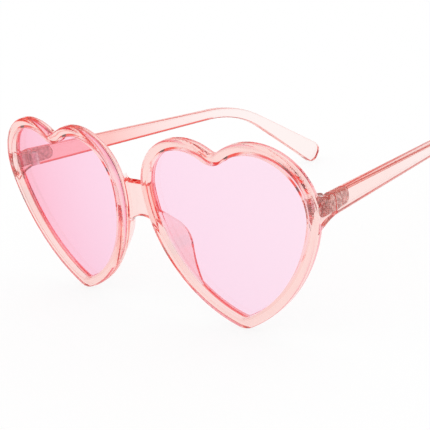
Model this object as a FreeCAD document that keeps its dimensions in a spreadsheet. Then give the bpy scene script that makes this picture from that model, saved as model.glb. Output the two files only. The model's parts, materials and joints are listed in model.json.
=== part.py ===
import FreeCAD, Part
import math
import os

import Sketcher

# Heart shaped sunglasses standing open. The front faces -Y, the arms run back along +Y, +Z is up and +X is
# on the right when they are seen from the front. The pieces of the +X side are modelled, and those of the
# other side are their mirror images.

doc = FreeCAD.newDocument("heart_sunglasses")
sheet = doc.addObject("Spreadsheet::Sheet", "sizes")

# Driving dimensions, in millimetres and degrees.
DRIVING_SIZES = {
    # Lens opening: round lobes, a notch between them, long side arcs and a small round tip.
    "nasal_lobe_x": 23.3,
    "nasal_lobe_z": 41.2,
    "nasal_lobe_radius": 15.2,
    "outer_lobe_x": 48.0,
    "outer_lobe_z": 40.2,
    "outer_lobe_radius": 16.3,
    "heart_tip_x": 35.9,
    "heart_tip_z": 5.4,
    "heart_tip_radius": 2.6,
    "nasal_side_radius": 40.0,
    "outer_side_radius": 51.0,
    "notch_radius": 5.9,
    # Front moulding: rims on a curve that leans forwards at the top, and a bridge set back between them.
    "rim_width": 3.3,
    "rim_thickness": 3.9,
    "rim_outer_round": 1.3,
    "rim_inner_round": 0.4,
    "base_curve_radius": 425,
    "front_lean_angle": 4.1,
    "bridge_top_z": 43.0,
    "bridge_bottom_z": 31.2,
    "bridge_setback": 2.6,
    "bridge_thickness": 2.8,
    "bridge_overlap": 0.8,
    "bridge_top_corner": 2.0,
    "bridge_edge_round": 0.8,
    # Blanks are made deeper than the front, and cuts swept round its curve bring them to shape.
    "blank_depth": 90,
    "cut_sweep_angle": 50,
    "cut_half_height": 145,
    # Nose wings behind the rims: a rounded crest, and a tail that runs down into the rim.
    "wing_inset": 0.45,
    "wing_root_sink": 1.2,
    "wing_flare_angle": 25,
    "wing_top_z": 36.0,
    "wing_crest_z": 26.0,
    "wing_crest_depth": 10.7,
    "wing_crest_radius": 9.0,
    "wing_tail_z": 10.6,
    "wing_tail_depth": 4.4,
    "wing_tail_radius": 10.0,
    "wing_bottom_z": 2.5,
    "wing_edge_round": 0.8,
    # Lenses, and the bevelled groove that holds them.
    "lens_setback": 2.0,
    "lens_thickness": 1.3,
    "lens_bevel": 0.6,
    "groove_depth": 0.8,
    "lens_clearance": 0.05,
    # Hinge line, and the arms' angle to the fore and aft direction.
    "hinge_inset": 1.3,
    "hinge_rise": 0.7,
    "hinge_x": "=outer_lobe_x + outer_lobe_radius - hinge_inset",
    "hinge_y": 10.6,
    "hinge_z": "=outer_lobe_z + hinge_rise",
    "temple_splay_angle": 7.7,
    "hinge_gap": 0.4,
    # Hinge leaves, knuckles and screw.
    "knuckle_radius": 1.3,
    "knuckle_clearance": 0.3,
    "knuckle_axial_gap": 0.1,
    "middle_knuckle_height": 1.3,
    "leaf_height": 4.2,
    "leaf_thickness": 1.0,
    "leaf_depth": 2.3,
    "leaf_strap": 1.0,
    "front_leaf_length": 6.2,
    "temple_leaf_length": 8.6,
    "leaf_end_round": 1.9,
    "screw_radius": 0.6,
    "screw_head_radius": 1.1,
    "screw_head_height": 0.5,
    "screw_seat_clearance": 0.02,
    "screw_running_clearance": 0.06,
    # End pieces, from the rim to the hinge.
    "end_piece_root_reach": 7.2,
    "end_piece_root_width": 3.0,
    "end_piece_root_shift": 1.95,
    "end_piece_root_above": 5.2,
    "end_piece_root_below": 6.8,
    "end_piece_root_round": 1.3,
    "end_piece_waist_reach": 3.6,
    "end_piece_waist_width": 3.7,
    "end_piece_waist_shift": 2.85,
    "end_piece_waist_above": 3.4,
    "end_piece_waist_below": 4.3,
    # Arms.
    "temple_thickness": 3.6,
    "temple_front_height": 6.4,
    "temple_edge_round": 0.9,
    "temple_bend_distance": 97.9,
    "temple_bend_drop": 7.0,
    "temple_bend_height": 3.5,
    "temple_top_bend_radius": 55,
    "temple_under_bend_radius": 46,
    "temple_tip_angle": 37.2,
    "temple_tip_height": 9.1,
    "temple_tip_round": 3.6,
}
for row, (size_name, size_value) in enumerate(DRIVING_SIZES.items(), start=1):
    sheet.set("A%d" % row, size_name)
    sheet.set("B%d" % row, str(size_value))
    sheet.setAlias("B%d" % row, size_name)
doc.recompute()

# Edges are picked by where they lie, to this many millimetres.
TOLERANCE = 0.01


def value(expression):
    return float(sheet.evalExpression(expression.replace("sizes.", "")))


def new_body(name):
    return doc.addObject("PartDesign::Body", name)


def origin_plane(body, role):
    return next(plane for plane in body.Origin.OriginFeatures if plane.Role == role)


def new_sketch(body, role, name, lift=None):
    sketch = body.newObject("Sketcher::SketchObject", name)
    sketch.AttachmentSupport = [(origin_plane(body, role), "")]
    sketch.MapMode = "FlatFace"
    if lift:
        sketch.setExpression("AttachmentOffset.Base.z", lift)
    return sketch


def bind(sketch, kind, elements, expression):
    index = sketch.addConstraint(Sketcher.Constraint(kind, *elements, value(expression)))
    sketch.setExpression("Constraints[%d]" % index, expression)


def pin(sketch, geometry, position, x_expression, y_expression):
    """Fix a point of the sketch at two bound distances from the sketch's origin."""
    for kind, axis, expression in (("DistanceX", -2, x_expression), ("DistanceY", -1, y_expression)):
        if expression == "0":
            sketch.addConstraint(Sketcher.Constraint("PointOnObject", geometry, position, axis))
        else:
            bind(sketch, kind, (-1, 1, geometry, position), expression)


def vector(x, y):
    return FreeCAD.Vector(x, y, 0)


def add_polygon(sketch, corners):
    """Closed outline through corners (x, y, radius), where a radius of None leaves the corner sharp."""
    points = [vector(value(x), value(y)) for x, y, radius in corners]
    count = len(corners)
    arrivals, departures, centres = [], [], []
    for index, (x, y, radius) in enumerate(corners):
        here = points[index]
        back = (points[index - 1] - here).normalize()
        ahead = (points[(index + 1) % count] - here).normalize()
        if radius is None:
            arrivals.append(here)
            departures.append(here)
            centres.append(None)
            continue
        half_angle = back.getAngle(ahead) / 2
        run = value(radius) / math.tan(half_angle)
        arrivals.append(here + back * run)
        departures.append(here + ahead * run)
        centres.append(here + (back + ahead).normalize() * (value(radius) / math.sin(half_angle)))
    lines = []
    for index in range(count):
        segment = Part.LineSegment(departures[index], arrivals[(index + 1) % count])
        lines.append(sketch.addGeometry(segment, False))
    for index, (x, y, radius) in enumerate(corners):
        before, after = lines[index - 1], lines[index]
        if radius is None:
            sketch.addConstraint(Sketcher.Constraint("Coincident", before, 2, after, 1))
            pin(sketch, after, 1, x, y)
            continue
        start = arrivals[index] - centres[index]
        end = departures[index] - centres[index]
        turns_left = start.cross(end).z > 0
        angles = [math.atan2(side.y, side.x) for side in (start, end)]
        circle = Part.Circle(centres[index], FreeCAD.Vector(0, 0, 1), value(radius))
        arc_ends = (1, 2) if turns_left else (2, 1)
        arc_angles = angles if turns_left else angles[::-1]
        arc = sketch.addGeometry(Part.ArcOfCircle(circle, *arc_angles), False)
        corner = sketch.addGeometry(Part.Point(points[index]), True)
        sketch.addConstraint(Sketcher.Constraint("Tangent", before, 2, arc, arc_ends[0]))
        sketch.addConstraint(Sketcher.Constraint("Tangent", arc, arc_ends[1], after, 1))
        bind(sketch, "Radius", (arc,), radius)
        pin(sketch, corner, 1, x, y)
        sketch.addConstraint(Sketcher.Constraint("PointOnObject", corner, 1, before))
        sketch.addConstraint(Sketcher.Constraint("PointOnObject", corner, 1, after))


def meet(first, first_radius, second, second_radius, side):
    """Point at given distances from two centres, on the left of the way between them for side 1."""
    way = second - first
    along = (way.Length ** 2 + first_radius ** 2 - second_radius ** 2) / (2 * way.Length)
    across = math.sqrt(first_radius ** 2 - along ** 2)
    unit = way / way.Length
    return first + unit * along + vector(-unit.y, unit.x) * (side * across)


class RoundArc:
    """One arc of an outline: its radius, the place of its centre, and whether it bulges outwards."""

    def __init__(self, radius, centre, bulges=True, pinned=None):
        self.radius = radius
        self.centre = centre
        self.bulges = bulges
        self.pinned = pinned

    def contact(self, other):
        """Where this arc runs into the other one."""
        reach, other_reach = value(self.radius), value(other.radius)
        if self.bulges == other.bulges and reach < other_reach:
            return other.contact(self)
        return self.centre + (other.centre - self.centre).normalize() * reach

    def add(self, sketch, entry, leave):
        start, end = (entry, leave) if self.bulges else (leave, entry)
        angles = [math.atan2(point.y - self.centre.y, point.x - self.centre.x) for point in (start, end)]
        circle = Part.Circle(self.centre, FreeCAD.Vector(0, 0, 1), value(self.radius))
        self.geometry = sketch.addGeometry(Part.ArcOfCircle(circle, *angles), False)
        self.entry, self.leave = (1, 2) if self.bulges else (2, 1)


def fix_arcs(sketch, arcs, closed):
    """Join arcs tangentially and pin the centres that are given."""
    pairs = zip(arcs, arcs[1:] + arcs[:1]) if closed else zip(arcs, arcs[1:])
    for before, after in pairs:
        ends = (before.geometry, before.leave, after.geometry, after.entry)
        sketch.addConstraint(Sketcher.Constraint("Tangent", *ends))
    for arc in arcs:
        if arc.pinned:
            pin(sketch, arc.geometry, 3, *arc.pinned)


def heart_arcs(offset):
    """The six arcs of a heart outline that runs outside the lens opening by the offset."""
    def grown(name):
        return "sizes.%s + %s" % (name, offset)

    def place(name):
        return vector(value("sizes.%s_x" % name), value("sizes.%s_z" % name))

    def pinned(name):
        return ("sizes.%s_x" % name, "sizes.%s_z" % name)

    nasal, outer, tip = place("nasal_lobe"), place("outer_lobe"), place("heart_tip")
    nasal_lobe = RoundArc(grown("nasal_lobe_radius"), nasal, pinned=pinned("nasal_lobe"))
    outer_lobe = RoundArc(grown("outer_lobe_radius"), outer, pinned=pinned("outer_lobe"))
    heart_tip = RoundArc(grown("heart_tip_radius"), tip, pinned=pinned("heart_tip"))
    nasal_reach = value("sizes.nasal_side_radius - sizes.nasal_lobe_radius")
    nasal_tip_reach = value("sizes.nasal_side_radius - sizes.heart_tip_radius")
    outer_reach = value("sizes.outer_side_radius - sizes.outer_lobe_radius")
    outer_tip_reach = value("sizes.outer_side_radius - sizes.heart_tip_radius")
    nasal_side = RoundArc(grown("nasal_side_radius"), meet(nasal, nasal_reach, tip, nasal_tip_reach, 1))
    outer_side = RoundArc(grown("outer_side_radius"), meet(outer, outer_reach, tip, outer_tip_reach, -1))
    nasal_notch_reach = value("sizes.nasal_lobe_radius + sizes.notch_radius")
    outer_notch_reach = value("sizes.outer_lobe_radius + sizes.notch_radius")
    notch_place = meet(nasal, nasal_notch_reach, outer, outer_notch_reach, 1)
    notch = RoundArc("sizes.notch_radius - (%s)" % offset, notch_place, bulges=False)
    return nasal_side, heart_tip, outer_side, outer_lobe, notch, nasal_lobe


def add_heart(sketch, offset):
    arcs = list(heart_arcs(offset))
    for index, arc in enumerate(arcs):
        following = arcs[(index + 1) % len(arcs)]
        arc.add(sketch, arcs[index - 1].contact(arc), arc.contact(following))
        bind(sketch, "Radius", (arc.geometry,), arc.radius)
    fix_arcs(sketch, arcs, closed=True)


def add_half_bridge(sketch):
    """Outline of the +X half of the bridge.

    A level top runs into the rim with a small round corner, and the underside with one long round saddle.
    """
    arcs = heart_arcs("sizes.rim_width - sizes.bridge_overlap")
    nasal_side, heart_tip, nasal_lobe = arcs[0], arcs[1], arcs[-1]
    for arc in (nasal_side, nasal_lobe):
        arc.bulges = False
    top = vector(0, value("sizes.bridge_top_z"))
    bottom = vector(0, value("sizes.bridge_bottom_z"))

    drop = nasal_side.centre.y - bottom.y
    reach = value(nasal_side.radius)
    saddle_radius = (nasal_side.centre.x ** 2 + drop ** 2 - reach ** 2) / (2 * (reach - drop))
    saddle = RoundArc(str(saddle_radius), bottom - vector(0, saddle_radius), bulges=False)

    corner_radius = value("sizes.bridge_top_corner")
    corner_z = top.y + corner_radius
    corner_reach = value(nasal_lobe.radius) + corner_radius
    corner_run = math.sqrt(corner_reach ** 2 - (corner_z - nasal_lobe.centre.y) ** 2)
    corner_centre = vector(nasal_lobe.centre.x - corner_run, corner_z)
    corner = RoundArc("sizes.bridge_top_corner", corner_centre, bulges=False)
    corner_end = corner_centre - vector(0, corner_radius)

    chain = [saddle, nasal_side, nasal_lobe, corner]
    contacts = [before.contact(after) for before, after in zip(chain, chain[1:])]
    for arc, entry, leave in zip(chain, [bottom] + contacts, contacts + [corner_end]):
        arc.add(sketch, entry, leave)
    for arc in (nasal_side, nasal_lobe, corner):
        bind(sketch, "Radius", (arc.geometry,), arc.radius)
    fix_arcs(sketch, chain, closed=False)
    # The circle of the heart's tip holds the nasal side in its place.
    tip_circle = Part.Circle(heart_tip.centre, FreeCAD.Vector(0, 0, 1), value(heart_tip.radius))
    tip = sketch.addGeometry(tip_circle, True)
    bind(sketch, "Radius", (tip,), heart_tip.radius)
    pin(sketch, tip, 3, *heart_tip.pinned)
    sketch.addConstraint(Sketcher.Constraint("Tangent", nasal_side.geometry, tip))
    level = sketch.addGeometry(Part.LineSegment(corner_end, top), False)
    middle = sketch.addGeometry(Part.LineSegment(top, bottom), False)
    sketch.addConstraint(Sketcher.Constraint("Tangent", corner.geometry, corner.leave, level, 1))
    sketch.addConstraint(Sketcher.Constraint("Horizontal", level))
    sketch.addConstraint(Sketcher.Constraint("Coincident", level, 2, middle, 1))
    sketch.addConstraint(Sketcher.Constraint("Coincident", middle, 2, saddle.geometry, saddle.entry))
    sketch.addConstraint(Sketcher.Constraint("PointOnObject", saddle.geometry, 3, -2))
    pin(sketch, middle, 1, "0", "sizes.bridge_top_z")
    pin(sketch, middle, 2, "0", "sizes.bridge_bottom_z")


def add_pad(body, sketch, name, length, symmetric=False):
    pad = body.newObject("PartDesign::Pad", name)
    pad.Profile = sketch
    pad.SideType = "Symmetric" if symmetric else "One side"
    pad.setExpression("Length", length)
    doc.recompute()
    return pad


def cut_to_curve(body, name, front_depth, rear_depth):
    """Cut a blank to a shell of the front's curve, between two depths behind its face."""
    top = "sizes.cut_half_height"
    bottom = "-1 * sizes.cut_half_height"
    sides = {"face": ("-1 * sizes.blank_depth", front_depth), "back": (rear_depth, "sizes.blank_depth")}
    for side, (near, far) in sides.items():
        sketch = new_sketch(body, "YZ_Plane", "%s_%s_profile" % (name, side))
        axis_x = value("sizes.base_curve_radius")
        axis_line = Part.LineSegment(vector(axis_x, 0), vector(axis_x, value(top)))
        axis = sketch.addGeometry(axis_line, True)
        pin(sketch, axis, 1, "sizes.base_curve_radius", "0")
        pin(sketch, axis, 2, "sizes.base_curve_radius", top)
        add_polygon(sketch, [(near, bottom, None), (far, bottom, None), (far, top, None), (near, top, None)])
        doc.recompute()
        volume_before = body.Shape.Volume
        groove = body.newObject("PartDesign::Groove", "%s_%s_cut" % (name, side))
        groove.Profile = sketch
        groove.ReferenceAxis = (sketch, ["Axis0"])
        groove.Midplane = True
        groove.setExpression("Angle", "sizes.cut_sweep_angle")
        doc.recompute()
        if not body.Shape.Volume < volume_before:
            raise RuntimeError("%s %s cut removed nothing" % (name, side))


def lean(body):
    """Tip a body of the front to its lean, top forwards."""
    body.Placement = FreeCAD.Placement(FreeCAD.Vector(), FreeCAD.Rotation(FreeCAD.Vector(1, 0, 0), 1))
    body.setExpression("Placement.Rotation.Angle", "sizes.front_lean_angle")


def put_on_hinge(body):
    """Place a body that is drawn about the hinge line: x outwards, y back along the arm."""
    body.Placement = FreeCAD.Placement(FreeCAD.Vector(), FreeCAD.Rotation(FreeCAD.Vector(0, 0, 1), 1))
    body.setExpression("Placement.Rotation.Angle", "sizes.temple_splay_angle")
    for axis in "xyz":
        body.setExpression("Placement.Base." + axis, "sizes.hinge_" + axis)


def add_fillet(body, name, edges, radius):
    rounded = body.Tip
    fillet = body.newObject("PartDesign::Fillet", name)
    fillet.Base = (rounded, edges)
    fillet.setExpression("Radius", radius)
    doc.recompute()
    return fillet


def edge_names(shape, wanted):
    return ["Edge%d" % number for number, edge in enumerate(shape.Edges, start=1) if wanted(edge)]


def samples(edge, count=5):
    return edge.discretize(count)


def on_shell(edge, depth):
    """Whether an edge lies in the front's curve, at a depth behind its face."""
    axis_y = value("sizes.base_curve_radius")
    shell_radius = axis_y - value(depth)
    spans = [math.hypot(point.x, point.y - axis_y) for point in samples(edge)]
    return all(abs(span - shell_radius) < TOLERANCE for span in spans)


def boolean(kind, name, base, tool):
    result = doc.addObject("Part::" + kind, name)
    result.Base = base
    result.Tool = tool
    doc.recompute()
    return result


def make_rim():
    """Curved ring round one lens opening, rounded all round."""
    body = new_body("rim")
    outline = new_sketch(body, "XZ_Plane", "rim_outline")
    add_heart(outline, "0")
    add_heart(outline, "sizes.rim_width")
    add_pad(body, outline, "rim_blank", "sizes.blank_depth", symmetric=True)
    cut_to_curve(body, "rim", "0.0", "sizes.rim_thickness")
    opening = min(outline.Shape.Wires, key=lambda wire: wire.Length)

    def rim_edges(at_opening):
        def wanted(edge):
            start = samples(edge)[0]
            gap = opening.distToShape(Part.Vertex(start.x, 0, start.z))[0]
            on_face = on_shell(edge, "0.0") or on_shell(edge, "sizes.rim_thickness")
            return on_face and (gap < value("sizes.rim_width") / 2) == at_opening

        return edge_names(body.Shape, wanted)

    add_fillet(body, "opening_rounding", rim_edges(True), "sizes.rim_inner_round")
    add_fillet(body, "rim_rounding", rim_edges(False), "sizes.rim_outer_round")
    lean(body)
    return body


def make_half_bridge():
    """Half of the bar between the rims, set back from their faces, with its free edges rounded."""
    body = new_body("bridge")
    outline = new_sketch(body, "XZ_Plane", "bridge_outline")
    add_half_bridge(outline)
    add_pad(body, outline, "bridge_blank", "sizes.blank_depth", symmetric=True)
    bridge_back = "sizes.bridge_setback + sizes.bridge_thickness"
    cut_to_curve(body, "bridge", "sizes.bridge_setback", bridge_back)

    def free_edge(edge):
        at_middle = [abs(point.x) < TOLERANCE for point in samples(edge)]
        saddle_face = on_shell(edge, "sizes.bridge_setback") and any(at_middle)
        return (saddle_face or on_shell(edge, bridge_back)) and not all(at_middle)

    add_fillet(body, "bridge_rounding", edge_names(body.Shape, free_edge), "sizes.bridge_edge_round")
    lean(body)
    return body


def make_nose_wing():
    """Fin behind the nasal side of the rim that rests on the nose, flaring outwards to the back."""
    ring = new_body("wing_ring")
    root = "(sizes.rim_thickness - sizes.wing_root_sink)"
    ring_outline = new_sketch(ring, "XZ_Plane", "wing_ring_outline", lift="-1 * " + root)
    add_heart(ring_outline, "sizes.wing_inset")
    add_heart(ring_outline, "sizes.rim_width - sizes.wing_inset")
    pad = add_pad(ring, ring_outline, "wing_ring_pad", "2 * sizes.wing_crest_depth")
    pad.UseCustomVector = True
    pad.Direction = FreeCAD.Vector(0, 1, 0)
    pad.setExpression("Direction.x", "sin(sizes.wing_flare_angle)")
    pad.setExpression("Direction.y", "cos(sizes.wing_flare_angle)")
    lean(ring)
    side = new_body("wing_side")
    profile = new_sketch(side, "YZ_Plane", "wing_profile")
    add_polygon(profile, [
        (root, "sizes.wing_bottom_z", None),
        ("sizes.wing_tail_depth", "sizes.wing_tail_z", "sizes.wing_tail_radius"),
        ("sizes.wing_crest_depth", "sizes.wing_crest_z", "sizes.wing_crest_radius"),
        (root, "sizes.wing_top_z", None),
    ])
    add_pad(side, profile, "wing_side_pad", "sizes.heart_tip_x")
    lean(side)
    wing = boolean("Common", "nose_wing_blank", ring, side)
    upright = ring.Placement.inverse()
    root_depth = value("sizes.rim_thickness")
    edge_round = value("sizes.wing_edge_round")

    def free_edge(edge):
        points = [upright.multVec(point) for point in samples(edge)]
        heights = [point.z for point in points]
        runs_along = max(heights) - min(heights) > TOLERANCE
        return runs_along and max(point.y for point in points) > root_depth

    rounded = doc.addObject("Part::Fillet", "nose_wing")
    rounded.Base = wing
    rounded.Edges = [(number, edge_round, edge_round)
                     for number, edge in enumerate(wing.Shape.Edges, start=1) if free_edge(edge)]
    doc.recompute()
    return rounded


def make_end_piece():
    """Lug that runs back from the rim's outer side to the hinge, drawn about the hinge line."""
    body = new_body("end_piece")
    inner = "(sizes.knuckle_radius + sizes.knuckle_clearance)"
    outer = "(%s + sizes.temple_thickness)" % inner
    half_front = "sizes.temple_front_height / 2"
    stations = {
        "gap": ("sizes.hinge_gap / 2", inner, outer, half_front, half_front, "sizes.temple_edge_round"),
    }
    for place in ("waist", "root"):
        shift = "sizes.end_piece_%s_shift" % place
        half_width = "sizes.end_piece_%s_width / 2" % place
        reach = "sizes.end_piece_%s_reach" % place
        stations[place] = (reach, "(%s - %s)" % (shift, half_width), "(%s + %s)" % (shift, half_width),
                           "sizes.end_piece_%s_above" % place, "sizes.end_piece_%s_below" % place,
                           "sizes.end_piece_root_round")
    sections = []
    for place, (reach, near, far, above, below, rounding) in stations.items():
        sketch = new_sketch(body, "XZ_Plane", "end_piece_%s_section" % place, lift=reach)
        add_polygon(sketch, [(near, "-1 * " + below, rounding), (far, "-1 * " + below, rounding),
                             (far, above, rounding), (near, above, rounding)])
        sections.append(sketch)
    doc.recompute()
    loft = body.newObject("PartDesign::AdditiveLoft", "end_piece_loft")
    loft.Profile = sections[0]
    loft.Sections = sections[1:]
    doc.recompute()
    put_on_hinge(body)
    return body


def make_curved_heart(name, offset, front_depth, rear_depth):
    """Heart shaped slice of a shell that follows the front's curve, with a bevelled edge."""
    body = new_body(name)
    outline = new_sketch(body, "XZ_Plane", name + "_outline")
    add_heart(outline, offset)
    add_pad(body, outline, name + "_blank", "sizes.blank_depth", symmetric=True)
    cut_to_curve(body, name, front_depth, rear_depth)
    on_faces = lambda edge: on_shell(edge, front_depth) or on_shell(edge, rear_depth)
    face_edges = edge_names(body.Shape, on_faces)
    sharp = body.Tip
    bevel = body.newObject("PartDesign::Chamfer", name + "_bevel")
    bevel.Base = (sharp, face_edges)
    bevel.setExpression("Size", "sizes.lens_bevel")
    doc.recompute()
    lean(body)
    return body


def add_circle(sketch, radius):
    circle = Part.Circle(vector(0, 0), FreeCAD.Vector(0, 0, 1), value(radius))
    ring = sketch.addGeometry(circle, False)
    sketch.addConstraint(Sketcher.Constraint("Coincident", ring, 3, -1, 1))
    bind(sketch, "Radius", (ring,), radius)


def make_leaf(name, direction, length, bore_clearance, outside):
    """Hinge leaf: a plate with a rounded end sunk in the plastic, and straps to its knuckles.

    The leaf with the outside knuckles has one above and one below the middle knuckle of the other leaf.
    """
    body = new_body(name)
    half_height = "sizes.leaf_height / 2"
    half_middle = "sizes.middle_knuckle_height / 2"

    def along(distance):
        return "%d * (%s)" % (direction, distance)

    near = along("sizes.hinge_gap / 4")
    far = along(length)
    plate = new_sketch(body, "YZ_Plane", name + "_plate_outline", lift="sizes.leaf_depth")
    add_polygon(plate, [
        (near, "-1 * " + half_height, None), (far, "-1 * " + half_height, "sizes.leaf_end_round"),
        (far, half_height, "sizes.leaf_end_round"), (near, half_height, None),
    ])
    add_pad(body, plate, name + "_plate", "sizes.leaf_thickness")

    floor = "(%s + sizes.knuckle_axial_gap)" % half_middle if outside else "-1 * " + half_middle
    height = "%s - %s" % (half_height, floor) if outside else "sizes.middle_knuckle_height"
    strap_outline = new_sketch(body, "XY_Plane", name + "_strap_outline", lift=floor)
    strap_end = along("sizes.hinge_gap / 4 + sizes.leaf_strap")
    reach = "sizes.leaf_depth + sizes.leaf_thickness"
    add_polygon(strap_outline, [("0", near, None), (reach, near, None),
                                (reach, strap_end, None), ("0", strap_end, None)])
    strap = add_pad(body, strap_outline, name + "_strap", height)
    knuckle_outline = new_sketch(body, "XY_Plane", name + "_knuckle_outline", lift=floor)
    add_circle(knuckle_outline, "sizes.knuckle_radius")
    knuckle = add_pad(body, knuckle_outline, name + "_knuckle", height)
    if outside:
        pair = body.newObject("PartDesign::Mirrored", name + "_pair")
        pair.Originals = [strap, knuckle]
        pair.MirrorPlane = (origin_plane(body, "XY_Plane"), [""])
        body.Tip = pair
        doc.recompute()
    bore_outline = new_sketch(body, "XY_Plane", name + "_bore_outline")
    add_circle(bore_outline, "sizes.screw_radius + " + bore_clearance)
    bore = body.newObject("PartDesign::Pocket", name + "_bore")
    bore.Profile = bore_outline
    bore.SideType = "Symmetric"
    bore.setExpression("Length", "2 * sizes.leaf_height")
    put_on_hinge(body)
    doc.recompute()
    return body


def make_screw():
    """Hinge screw with a low head that rests on the top knuckle."""
    body = new_body("hinge_screw_right")
    profile = new_sketch(body, "XZ_Plane", "screw_profile")
    seat = "sizes.leaf_height / 2"
    top = "%s + sizes.screw_head_height" % seat
    add_polygon(profile, [
        ("0", "-1 * " + seat, None), ("sizes.screw_radius", "-1 * " + seat, None),
        ("sizes.screw_radius", seat, None), ("sizes.screw_head_radius", seat, None),
        ("sizes.screw_head_radius", top, "sizes.screw_head_height / 2"), ("0", top, None),
    ])
    turned = body.newObject("PartDesign::Revolution", "screw_turned")
    turned.Profile = profile
    turned.ReferenceAxis = (profile, ["V_Axis"])
    turned.Angle = 360
    put_on_hinge(body)
    doc.recompute()
    return body


def make_temple():
    """Arm of the +X side: straight and tapering, then bent down to a flared tip."""
    body = new_body("temple_blank")
    inner = "sizes.knuckle_radius + sizes.knuckle_clearance"
    profile = new_sketch(body, "YZ_Plane", "temple_profile", lift=inner)
    front = "sizes.hinge_gap / 2"
    half_front = "sizes.temple_front_height / 2"
    half_bend = "sizes.temple_bend_height / 2"
    bend = "sizes.temple_bend_distance"
    flare_y = "sizes.temple_tip_height / 2 * sin(sizes.temple_tip_angle)"
    flare_z = "sizes.temple_tip_height / 2 * cos(sizes.temple_tip_angle)"
    # The rounded lower corner of the tip stands on the same surface as the tips of the hearts.
    surface = "(sizes.heart_tip_z - sizes.heart_tip_radius - sizes.rim_width - sizes.hinge_z)"
    corner_lift = "sizes.temple_tip_round * (sin(sizes.temple_tip_angle) + cos(sizes.temple_tip_angle) - 1)"
    tip_z = "(%s + %s - %s)" % (surface, flare_z, corner_lift)
    tip_y = "(%s - (%s + sizes.temple_bend_drop) / tan(sizes.temple_tip_angle))" % (bend, tip_z)
    add_polygon(profile, [
        (front, "-1 * " + half_front, None),
        (bend, "-1 * sizes.temple_bend_drop - " + half_bend, "sizes.temple_under_bend_radius"),
        ("%s - %s" % (tip_y, flare_y), "%s - %s" % (tip_z, flare_z), "sizes.temple_tip_round"),
        ("%s + %s" % (tip_y, flare_y), "%s + %s" % (tip_z, flare_z), "sizes.temple_tip_round"),
        (bend, "-1 * sizes.temple_bend_drop + " + half_bend, "sizes.temple_top_bend_radius"),
        (front, half_front, None),
    ])
    add_pad(body, profile, "temple_pad", "sizes.temple_thickness")
    front_y = value(front)

    def long_edge(edge):
        points = samples(edge)
        level = max(point.x for point in points) - min(point.x for point in points) < TOLERANCE
        at_front = all(abs(point.y - front_y) < TOLERANCE for point in points)
        return level and not at_front

    add_fillet(body, "temple_rounding", edge_names(body.Shape, long_edge), "sizes.temple_edge_round")
    put_on_hinge(body)
    doc.recompute()
    return body


def mirrored(source, name):
    mirror = doc.addObject("Part::Mirroring", name)
    mirror.Source = source
    mirror.Normal = FreeCAD.Vector(1, 0, 0)
    doc.recompute()
    return mirror


# Hinges, which the plastic is sunk round.
front_leaf = make_leaf("hinge_front_leaf_right", -1, "sizes.front_leaf_length",
                       "sizes.screw_seat_clearance", outside=True)
temple_leaf = make_leaf("hinge_temple_leaf_right", 1, "sizes.temple_leaf_length",
                        "sizes.screw_running_clearance", outside=False)
screw = make_screw()

# Lenses, and the groove in the rim that takes them with a little room at the edge and the face.
lens_back = "sizes.lens_setback + sizes.lens_thickness"
groove_room = make_curved_heart("lens_groove", "sizes.groove_depth",
                                "sizes.lens_setback - sizes.lens_clearance", lens_back)
lens = make_curved_heart("lens_right", "(sizes.groove_depth - sizes.lens_clearance)",
                         "sizes.lens_setback", lens_back)

# Front moulding: one half with its bridge, wing and end piece, then both halves as one.
half = boolean("Fuse", "half_with_bridge", make_rim(), make_half_bridge())
half = boolean("Fuse", "half_with_wing", half, make_nose_wing())
half = boolean("Fuse", "half_with_end_piece", half, make_end_piece())
half = boolean("Cut", "half_with_groove", half, groove_room)
half = boolean("Cut", "half_with_leaf_seat", half, front_leaf)
front = boolean("Fuse", "front_frame", half, mirrored(half, "other_half"))
front.Refine = True

# Arms.
temple = boolean("Cut", "temple_right", make_temple(), temple_leaf)

sub_parts = {"front_frame": front}
for right_piece in (lens, front_leaf, temple, temple_leaf, screw):
    name = right_piece.Label
    sub_parts[name] = right_piece
    other_name = name.replace("_right", "_left")
    sub_parts[other_name] = mirrored(right_piece, other_name)
doc.recompute()

# The origin is on the standing surface, in the middle of the footprint.
whole = Part.makeCompound([piece.Shape for piece in sub_parts.values()]).optimalBoundingBox(False)
to_origin = FreeCAD.Vector(0, -whole.Center.y, -whole.ZMin)

for item in doc.Objects:
    if "Invalid" in item.State or "Error" in item.State:
        raise RuntimeError("%s did not build: %s" % (item.Name, item.State))

os.makedirs("parts", exist_ok=True)
for name, piece in sub_parts.items():
    shape = piece.Shape.copy()
    if shape.isNull() or not shape.isValid() or len(shape.Solids) != 1:
        raise RuntimeError("%s has no single valid solid" % name)
    shape.translate(to_origin)
    shape.exportStep("parts/%s.step" % name)

hinge_line = FreeCAD.Vector(*(value("sizes.hinge_" + axis) for axis in "xyz")) + to_origin
print("box", whole.XLength, whole.YLength, whole.ZLength)
print("hinge line", hinge_line)
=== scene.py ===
import json
import math

import bmesh
import bpy
from mathutils import Matrix, Vector
from mathutils.bvhtree import BVHTree
from mathutils.kdtree import KDTree

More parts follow.
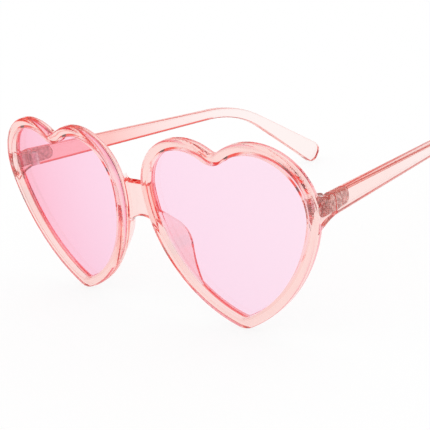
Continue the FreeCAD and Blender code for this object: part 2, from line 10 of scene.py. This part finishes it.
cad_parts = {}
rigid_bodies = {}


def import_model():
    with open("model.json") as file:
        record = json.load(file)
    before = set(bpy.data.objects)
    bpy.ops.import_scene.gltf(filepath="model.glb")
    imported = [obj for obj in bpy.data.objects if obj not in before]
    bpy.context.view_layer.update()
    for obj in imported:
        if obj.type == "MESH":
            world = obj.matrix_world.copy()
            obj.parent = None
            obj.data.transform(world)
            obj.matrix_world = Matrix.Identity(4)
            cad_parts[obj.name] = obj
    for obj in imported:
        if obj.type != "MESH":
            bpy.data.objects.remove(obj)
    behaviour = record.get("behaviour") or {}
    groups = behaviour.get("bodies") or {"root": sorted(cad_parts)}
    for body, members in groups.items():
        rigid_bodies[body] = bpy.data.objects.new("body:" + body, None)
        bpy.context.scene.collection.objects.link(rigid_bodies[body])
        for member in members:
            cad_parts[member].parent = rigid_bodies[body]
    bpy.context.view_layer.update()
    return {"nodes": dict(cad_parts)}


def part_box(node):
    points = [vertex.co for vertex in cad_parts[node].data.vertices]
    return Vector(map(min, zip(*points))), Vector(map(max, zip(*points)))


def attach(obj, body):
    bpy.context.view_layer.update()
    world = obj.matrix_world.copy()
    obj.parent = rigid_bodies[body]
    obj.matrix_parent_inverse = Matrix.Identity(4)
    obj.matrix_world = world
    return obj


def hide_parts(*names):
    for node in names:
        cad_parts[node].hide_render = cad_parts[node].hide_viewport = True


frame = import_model()


# Front: both heart shaped rims, the bridge, the nose wings and the end pieces are one injection moulding
# in clear pale pink plastic, tumbled to a gloss. It carries the lenses in its grooves and the hinges in
# its end pieces.

SIDES = ("right", "left")
PLASTIC_BENDING = 1.585
FRONT_DEPTH_COLOUR = (0.99, 0.3, 0.2)
FRONT_DEPTH_DENSITY = 105.0
FRONT_STREAK_COLOUR = (1.0, 0.94, 0.93)
MELT_WAVE_SCALE = 220.0
MELT_WAVE_DETAIL = 1.0
MELT_WAVE_DEPTH = 0.00001
HAZE_SPECK_SCALE = 3500.0
HAZE_SPECK_DETAIL = 3.0
HAZE_SPECKS = (0.55, 0.8)
HANDLING_HAZE = 0.03
CLEAR = (1.0, 1.0, 1.0, 1.0)


def place_node(tree, kind, values=None, **settings):
    """Add a node and give each named input a plain value or a link from another node's output."""
    node = tree.nodes.new(kind)
    for name, setting in settings.items():
        setattr(node, name, setting)
    for socket, value in (values or {}).items():
        if isinstance(value, bpy.types.NodeSocket):
            tree.links.new(value, node.inputs[socket])
        else:
            node.inputs[socket].default_value = value
    return node


def moulded_skin():
    """Skin of a polished moulding: slow waves left by the melt, and specks of handling haze."""
    group = bpy.data.node_groups.new("moulded_skin", "ShaderNodeTree")
    for name in ("Wave Scale", "Speck Scale", "Haze"):
        group.interface.new_socket(name, in_out="INPUT", socket_type="NodeSocketFloat")
    for name in ("Height", "Roughness"):
        group.interface.new_socket(name, in_out="OUTPUT", socket_type="NodeSocketFloat")
    given = group.nodes.new("NodeGroupInput").outputs
    place = place_node(group, "ShaderNodeTexCoord").outputs["Object"]
    waves = place_node(group, "ShaderNodeTexNoise", {
        "Vector": place, "Scale": given["Wave Scale"], "Detail": MELT_WAVE_DETAIL})
    specks = place_node(group, "ShaderNodeTexNoise", {
        "Vector": place, "Scale": given["Speck Scale"], "Detail": HAZE_SPECK_DETAIL})
    first_speck, full_speck = HAZE_SPECKS
    worn = place_node(group, "ShaderNodeMapRange", {
        "Value": specks.outputs["Fac"], "From Min": first_speck, "From Max": full_speck,
        "To Max": given["Haze"]}, interpolation_type="SMOOTHSTEP")
    place_node(group, "NodeGroupOutput", {
        "Height": waves.outputs["Fac"], "Roughness": worn.outputs["Result"]})
    return group


SKIN = moulded_skin()


def clear_plastic(name, depth_colour, depth_density, wave_depth, haze):
    """Clear plastic that takes its colour from the depth of plastic the light has crossed."""
    material = bpy.data.materials.new(name)
    material.use_nodes = True
    tree = material.node_tree
    skin = place_node(tree, "ShaderNodeGroup", node_tree=SKIN)
    skin.name = "skin"
    skin.inputs["Wave Scale"].default_value = MELT_WAVE_SCALE
    skin.inputs["Speck Scale"].default_value = HAZE_SPECK_SCALE
    skin.inputs["Haze"].default_value = haze
    bump = place_node(tree, "ShaderNodeBump", {"Height": skin.outputs["Height"], "Distance": wave_depth})
    shader = tree.nodes["Principled BSDF"]
    shader.inputs["IOR"].default_value = PLASTIC_BENDING
    shader.inputs["Transmission Weight"].default_value = 1.0
    tree.links.new(skin.outputs["Roughness"], shader.inputs["Roughness"])
    tree.links.new(bump.outputs["Normal"], shader.inputs["Normal"])
    depth_tint = place_node(tree, "ShaderNodeVolumeAbsorption", {
        "Color": (*depth_colour, 1.0), "Density": depth_density})
    tree.links.new(depth_tint.outputs["Volume"], tree.nodes["Material Output"].inputs["Volume"])
    return material


def stain_and_painted_shade(material, amount, colour):
    """Tint a clear plastic with a colour where the amount is high: real streaks in the front, painted
    shade in the lenses, a fade along the arms.
    """
    tree = material.node_tree
    mix = place_node(tree, "ShaderNodeMix", {"Factor": amount}, data_type="RGBA")
    mix.inputs["A"].default_value = CLEAR
    mix.inputs["B"].default_value = (*colour, 1.0)
    tree.links.new(mix.outputs["Result"], tree.nodes["Principled BSDF"].inputs["Base Color"])


scene_objects = bpy.context.scene.collection.objects


def new_piece(name, mesh, material, body, node_name):
    """Put a mesh in a node's place, riding on a body and filed under a material slot."""
    mesh.materials.clear()
    mesh.materials.append(material)
    piece = bpy.data.objects.new(name, mesh)
    scene_objects.link(piece)
    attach(piece, body)
    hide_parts(node_name)


front_plastic = clear_plastic("clear_pink_front", FRONT_DEPTH_COLOUR, FRONT_DEPTH_DENSITY,
                              MELT_WAVE_DEPTH, HANDLING_HAZE)
melt_streaks = front_plastic.node_tree.nodes["skin"].outputs["Height"]
stain_and_painted_shade(front_plastic, melt_streaks, FRONT_STREAK_COLOUR)

# The lens edge fills its groove and light crosses both as one clear wall, so the grooves are pressed flat:
# each groove point goes to the nearest point of the groove's lips.
GROOVE_REACH = 0.00006
FLAT_AREA = 1e-13
lens_surfaces = {}
for side in SIDES:
    lens_data = frame["nodes"]["lens_" + side].data
    lens_points = [vertex.co for vertex in lens_data.vertices]
    lens_faces = [face.vertices for face in lens_data.polygons]
    lens_surfaces[side] = BVHTree.FromPolygons(lens_points, lens_faces)


def beside_a_lens(point):
    """Whether a point lies in a lens groove, close to the lens."""
    nearest = [surface.find_nearest(point, GROOVE_REACH)[0] for surface in lens_surfaces.values()]
    return any(spot is not None for spot in nearest)


def drop_flat_faces(mesh):
    """Delete the faces that have been pressed to nothing."""
    shell = bmesh.new()
    shell.from_mesh(mesh)
    flat_faces = [face for face in shell.faces if face.calc_area() < FLAT_AREA]
    bmesh.ops.delete(shell, geom=flat_faces, context="FACES")
    shell.to_mesh(mesh)
    shell.free()


front_mesh = frame["nodes"]["front_frame"].data.copy()
in_groove = [beside_a_lens(vertex.co) for vertex in front_mesh.vertices]
lip_points = set()
for edge in front_mesh.edges:
    ends = tuple(edge.vertices)
    for here, there in (ends, ends[::-1]):
        if in_groove[here] and not in_groove[there]:
            lip_points.add(tuple(front_mesh.vertices[here].co))
groove_lips = KDTree(len(lip_points))
for index, point in enumerate(sorted(lip_points)):
    groove_lips.insert(point, index)
groove_lips.balance()
for vertex, sunk in zip(front_mesh.vertices, in_groove):
    if sunk:
        vertex.co = groove_lips.find(vertex.co)[0]
drop_flat_faces(front_mesh)
new_piece("moulded_front", front_mesh, front_plastic, "front", "front_frame")


# Lenses: thin curved sheets of pink tinted plastic with a hard clear coat, cut to a heart and snapped into
# the rims from behind. Here they end at the rims' inner wall, a hair of air apart from it, and hardly bend
# light, as a thin sheet doesn't shift what is seen through it.

LENS_DEPTH_COLOUR = (0.98, 0.015, 0.57)
LENS_DEPTH_DENSITY = 160.0
LENS_WAVE_DEPTH = 0.000002
LENS_HAZE = 0.015
LENS_BENDING = 1.01
# Painted shade: the lenses are tinted deeper pink towards the left lens, for the pink shadow on the floor
# seen through it.
LENS_PAINTED_SHADE = (1.0, 0.74, 0.72)
LENS_PAINTED_SHADE_REACH = (-0.065, 0.065)
LENS_PAINTED_SHADE_FALLOFF = 4.0
LENS_AIR = 0.00003
LENS_CLEARANCE = 0.00005
LENS_EDGE = 0.0012


def fade(material, axis, reach, falloff):
    """Amount that falls along one axis, from 1 at the first end of the reach to 0 at the other."""
    tree = material.node_tree
    deep_end, clear_end = reach
    place = place_node(tree, "ShaderNodeTexCoord").outputs["Object"]
    along = place_node(tree, "ShaderNodeSeparateXYZ", {"Vector": place}).outputs[axis]
    even = place_node(tree, "ShaderNodeMapRange", {
        "Value": along, "From Min": deep_end, "From Max": clear_end, "To Min": 1.0, "To Max": 0.0})
    eased = place_node(tree, "ShaderNodeMath", {0: even.outputs["Result"], 1: falloff}, operation="POWER")
    return eased.outputs["Value"]


lens_plastic = clear_plastic("tinted_lens", LENS_DEPTH_COLOUR, LENS_DEPTH_DENSITY,
                             LENS_WAVE_DEPTH, LENS_HAZE)
# Painted shade: a deeper pink tint fades across X, from the left lens to the right one.
stain_and_painted_shade(lens_plastic, fade(lens_plastic, "X", LENS_PAINTED_SHADE_REACH, LENS_PAINTED_SHADE_FALLOFF), LENS_PAINTED_SHADE)
lens_shader = lens_plastic.node_tree.nodes["Principled BSDF"]
lens_shader.inputs["IOR"].default_value = LENS_BENDING
lens_shader.inputs["Coat Weight"].default_value = 1.0

for side in SIDES:
    node_name = "lens_" + side
    low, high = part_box(node_name)
    middle = (low + high) / 2
    lens_mesh = frame["nodes"][node_name].data.copy()
    for vertex in lens_mesh.vertices:
        lip, _, distance = groove_lips.find(vertex.co)
        if distance < LENS_EDGE:
            lip_gap = lens_surfaces[side].find_nearest(lip)[3]
            at_front = lip_gap > LENS_CLEARANCE / 2
            backwards = LENS_CLEARANCE if at_front else -LENS_AIR
            inwards = Vector((middle.x - lip.x, 0.0, middle.z - lip.z)).normalized()
            vertex.co = lip + inwards * LENS_AIR + Vector((0.0, backwards, 0.0))
    drop_flat_faces(lens_mesh)
    new_piece("snapped_lens_" + side, lens_mesh, lens_plastic, "front", node_name)


# Arms: straight tapering mouldings of the same clear pink plastic, warmed and bent down at the ears, with
# flared tips. Each hangs on its hinge leaf. The colour fades to the tips and is deeper in the left arm.

ARM_DEPTH_COLOUR = (0.98, 0.2, 0.06)
ARM_DEPTH_DENSITY = 32.0
ARM_TINTS = {"right": (1.0, 0.87, 0.85), "left": (1.0, 0.61, 0.59)}
ARM_TINT_REACH = (-0.03, 0.06)
ARM_TINT_FALLOFF = 3.0


def dress(node_name, material):
    """Give a node its material."""
    node = frame["nodes"][node_name]
    node.data.materials.clear()
    node.data.materials.append(material)
    return node


for side, arm_tint in ARM_TINTS.items():
    arm_plastic = clear_plastic("clear_pink_arm_" + side, ARM_DEPTH_COLOUR, ARM_DEPTH_DENSITY,
                                MELT_WAVE_DEPTH, HANDLING_HAZE)
    stain_and_painted_shade(arm_plastic, fade(arm_plastic, "Y", ARM_TINT_REACH, ARM_TINT_FALLOFF), arm_tint)
    dress("temple_" + side, arm_plastic)


# Hinge leaves: stamped nickel silver, knurled so that the plastic grips them, and pressed hot into the
# end pieces and the arms. The knuckles stay bare.

GRIP_DEPTH = 0.00012
GRIP_SPACING = 0.0007
LEAF_GRAIN = 0.0001
EDGE_WELD = 0.000001
LEAF_MOTTLE_SCALE = 900.0
LEAF_MOTTLE_DETAIL = 3.0
LEAF_DARK = (0.63, 0.46, 0.43, 1.0)
LEAF_BRIGHT = (0.95, 0.84, 0.80, 1.0)
LEAF_MOTTLE = (0.35, 0.65)
LEAF_DULL = 0.45
LEAF_RUBBED = 0.2

leaf_metal = bpy.data.materials.new("knurled_leaf")
leaf_metal.use_nodes = True
tree = leaf_metal.node_tree
place = place_node(tree, "ShaderNodeTexCoord").outputs["Object"]
mottle = place_node(tree, "ShaderNodeTexNoise", {
    "Vector": place, "Scale": LEAF_MOTTLE_SCALE, "Detail": LEAF_MOTTLE_DETAIL}).outputs["Fac"]
colour = place_node(tree, "ShaderNodeValToRGB", {"Fac": mottle})
dark_stop, bright_stop = colour.color_ramp.elements
dark_stop.position, bright_stop.position = LEAF_MOTTLE
dark_stop.color = LEAF_DARK
bright_stop.color = LEAF_BRIGHT
rub = place_node(tree, "ShaderNodeMapRange", {
    "Value": mottle, "To Min": LEAF_DULL, "To Max": LEAF_RUBBED})
shader = tree.nodes["Principled BSDF"]
shader.inputs["Metallic"].default_value = 1.0
tree.links.new(colour.outputs["Color"], shader.inputs["Base Color"])
tree.links.new(rub.outputs["Result"], shader.inputs["Roughness"])

knurl = bpy.data.textures.new("knurl", "VORONOI")
knurl.distance_metric = "MANHATTAN"
knurl.noise_scale = GRIP_SPACING
for side in SIDES:
    for leaf_name in ("hinge_front_leaf_", "hinge_temple_leaf_"):
        leaf = dress(leaf_name + side, leaf_metal)
        leaf.modifiers.new("closed_edges", "WELD").merge_threshold = EDGE_WELD
        grain = leaf.modifiers.new("fine_mesh", "REMESH")
        grain.mode = "VOXEL"
        grain.voxel_size = LEAF_GRAIN
        grain.use_smooth_shade = True
        grip = leaf.modifiers.new("grip", "DISPLACE")
        grip.texture = knurl
        grip.texture_coords = "LOCAL"
        grip.mid_level = 0.0
        grip.strength = GRIP_DEPTH


# Hinge screws: small turned steel pins with a cheese head, put in from above through all three knuckles.
# A driver's slot is cut across each head.

SLOT_WIDTH = 0.0003
SLOT_DEPTH = 0.00025
SCREW_COLOUR = (0.68, 0.65, 0.62, 1.0)
TURNING_SCALE = 2500.0
TURNING_DETAIL = 2.0
SCREW_BRIGHT = 0.2
SCREW_WORN = 0.45

screw_steel = bpy.data.materials.new("turned_steel")
screw_steel.use_nodes = True
tree = screw_steel.node_tree
place = place_node(tree, "ShaderNodeTexCoord").outputs["Object"]
turning = place_node(tree, "ShaderNodeTexNoise", {
    "Vector": place, "Scale": TURNING_SCALE, "Detail": TURNING_DETAIL}).outputs["Fac"]
worn = place_node(tree, "ShaderNodeMapRange", {
    "Value": turning, "To Min": SCREW_BRIGHT, "To Max": SCREW_WORN})
shader = tree.nodes["Principled BSDF"]
shader.inputs["Base Color"].default_value = SCREW_COLOUR
shader.inputs["Metallic"].default_value = 1.0
tree.links.new(worn.outputs["Result"], shader.inputs["Roughness"])

for side in SIDES:
    node_name = "hinge_screw_" + side
    low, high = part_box(node_name)
    middle = (low + high) / 2
    slot_length = 2 * (high.x - low.x)
    slot_size = Matrix.Diagonal((slot_length, SLOT_WIDTH, 2 * SLOT_DEPTH, 1.0))
    slot_place = Matrix.Translation((middle.x, middle.y, high.z))
    slot_shell = bmesh.new()
    bmesh.ops.create_cube(slot_shell, size=1.0, matrix=slot_place @ slot_size)
    slot_mesh = bpy.data.meshes.new("slot")
    slot_shell.to_mesh(slot_mesh)
    slot_shell.free()
    slot = bpy.data.objects.new("slot", slot_mesh)
    blank = bpy.data.objects.new("blank", frame["nodes"][node_name].data)
    for item in (slot, blank):
        scene_objects.link(item)
    blank.modifiers.new("closed_edges", "WELD").merge_threshold = EDGE_WELD
    blank.modifiers.new("slot", "BOOLEAN").object = slot
    cut_blank = blank.evaluated_get(bpy.context.evaluated_depsgraph_get())
    screw_mesh = bpy.data.meshes.new_from_object(cut_blank)
    for item in (slot, blank):
        bpy.data.objects.remove(item)
    new_piece("slotted_screw_" + side, screw_mesh, screw_steel, "front", node_name)


# Studio: a white sheet on the table, in a white room that gives all the light. A warm red band with a dark
# core runs round the walls below the ceiling. Only gloss and clear plastic show it, as lines along edges.
# Heights on the walls are the upward part of a view direction: 0 is level and 1 straight up.

SHEET_HALF_WIDTH = 3.0
SHEET_DROP = 0.0002
SHADE_SHARE = 0.14
ROOM_WHITE = (1.0, 1.0, 1.0, 1.0)
BAND_COLOUR = (0.9, 0.08, 0.05, 1.0)
BAND_FOOT = (0.08, 0.2)
BAND_TOP = (0.75, 0.6)
CORE_COLOUR = (0.12, 0.05, 0.05, 1.0)
CORE_FOOT = (0.25, 0.3)
CORE_TOP = (0.45, 0.4)
LIGHT_TURNS = 64

sheet_shell = bmesh.new()
sheet_place = Matrix.Translation((0.0, 0.0, -SHEET_DROP))
bmesh.ops.create_grid(sheet_shell, size=SHEET_HALF_WIDTH, matrix=sheet_place)
sheet_mesh = bpy.data.meshes.new("white_sheet")
sheet_shell.to_mesh(sheet_mesh)
sheet_shell.free()
sheet = bpy.data.objects.new("white_sheet", sheet_mesh)
scene_objects.link(sheet)


def highest(tree, *values):
    """The largest of several values."""
    result = values[0]
    for value in values[1:]:
        higher = place_node(tree, "ShaderNodeMath", {0: result, 1: value}, operation="MAXIMUM")
        result = higher.outputs["Value"]
    return result


def product(tree, first, second):
    """One value times another."""
    times = place_node(tree, "ShaderNodeMath", {0: first, 1: second}, operation="MULTIPLY")
    return times.outputs["Value"]


sheet_white = bpy.data.materials.new("sheet_white")
sheet_white.use_nodes = True
tree = sheet_white.node_tree
tree.nodes.remove(tree.nodes["Principled BSDF"])
sheet_grey = (SHADE_SHARE, SHADE_SHARE, SHADE_SHARE, 1.0)
matt = place_node(tree, "ShaderNodeBsdfDiffuse", {"Color": sheet_grey})
path = place_node(tree, "ShaderNodeLightPath").outputs
seen = highest(tree, path["Is Camera Ray"], path["Is Glossy Ray"], path["Is Transmission Ray"])
glow = place_node(tree, "ShaderNodeEmission", {"Strength": product(tree, seen, 1.0 - SHADE_SHARE)})
both = place_node(tree, "ShaderNodeAddShader", {0: matt.outputs["BSDF"], 1: glow.outputs["Emission"]})
tree.links.new(both.outputs["Shader"], tree.nodes["Material Output"].inputs["Surface"])
sheet_mesh.materials.append(sheet_white)

room = bpy.data.worlds.new("white_room")
bpy.context.scene.world = room
room.use_nodes = True
tree = room.node_tree
direction = place_node(tree, "ShaderNodeTexCoord").outputs["Generated"]
upwards = place_node(tree, "ShaderNodeSeparateXYZ", {"Vector": direction}).outputs["Z"]


def past(tree, value, start, end):
    """Smooth step from 0 at the start to 1 at the end."""
    step = place_node(tree, "ShaderNodeMapRange", {
        "Value": value, "From Min": start, "From Max": end}, interpolation_type="SMOOTHSTEP")
    return step.outputs["Result"]


band = product(tree, past(tree, upwards, *BAND_FOOT), past(tree, upwards, *BAND_TOP))
path = place_node(tree, "ShaderNodeLightPath").outputs
in_plastic = highest(tree, path["Is Glossy Ray"], path["Is Transmission Ray"])
walls = place_node(tree, "ShaderNodeMix", {"Factor": product(tree, band, in_plastic)}, data_type="RGBA")
walls.inputs["A"].default_value = ROOM_WHITE
core = product(tree, past(tree, upwards, *CORE_FOOT), past(tree, upwards, *CORE_TOP))
band_colour = place_node(tree, "ShaderNodeMix", {"Factor": core}, data_type="RGBA")
band_colour.inputs["A"].default_value = BAND_COLOUR
band_colour.inputs["B"].default_value = CORE_COLOUR
tree.links.new(band_colour.outputs["Result"], walls.inputs["B"])
tree.links.new(walls.outputs["Result"], tree.nodes["Background"].inputs["Color"])

# Light is followed far enough to leave the plastic again after its many turns inside a rim.
bpy.context.scene.cycles.max_bounces = LIGHT_TURNS
bpy.context.scene.cycles.glossy_bounces = LIGHT_TURNS
bpy.context.scene.cycles.transmission_bounces = LIGHT_TURNS


# Camera: it looks from the front right and a little above, and is held slightly turned.
# Its place comes from fitting the hearts, the bridge and the arms to the photograph.

AIM = Vector((0.03228, -0.07384, 0.03695))
DISTANCE = 0.3144
AZIMUTH = math.radians(44.42)
ELEVATION = math.radians(19.27)
ROLL = math.radians(-7.77)
FOCAL_PIXELS = 1078
IMAGE_PIXELS = 430
NEAREST_SEEN = 0.01

across = math.cos(ELEVATION)
back = Vector((math.sin(AZIMUTH) * across, -math.cos(AZIMUTH) * across, math.sin(ELEVATION)))
level = Vector((math.cos(AZIMUTH), math.sin(AZIMUTH), 0.0))
upright = back.cross(level)
right = level * math.cos(ROLL) + upright * math.sin(ROLL)
up = upright * math.cos(ROLL) - level * math.sin(ROLL)
camera_data = bpy.data.cameras.new("camera")
camera_data.lens = FOCAL_PIXELS / IMAGE_PIXELS * camera_data.sensor_width
camera_data.clip_start = NEAREST_SEEN
camera = bpy.data.objects.new("camera", camera_data)
turn = Matrix((right, up, back)).transposed().to_4x4()
camera.matrix_world = Matrix.Translation(AIM + back * DISTANCE) @ turn
scene_objects.link(camera)
bpy.context.scene.camera = camera
bpy.context.scene.view_settings.view_transform = "Standard"
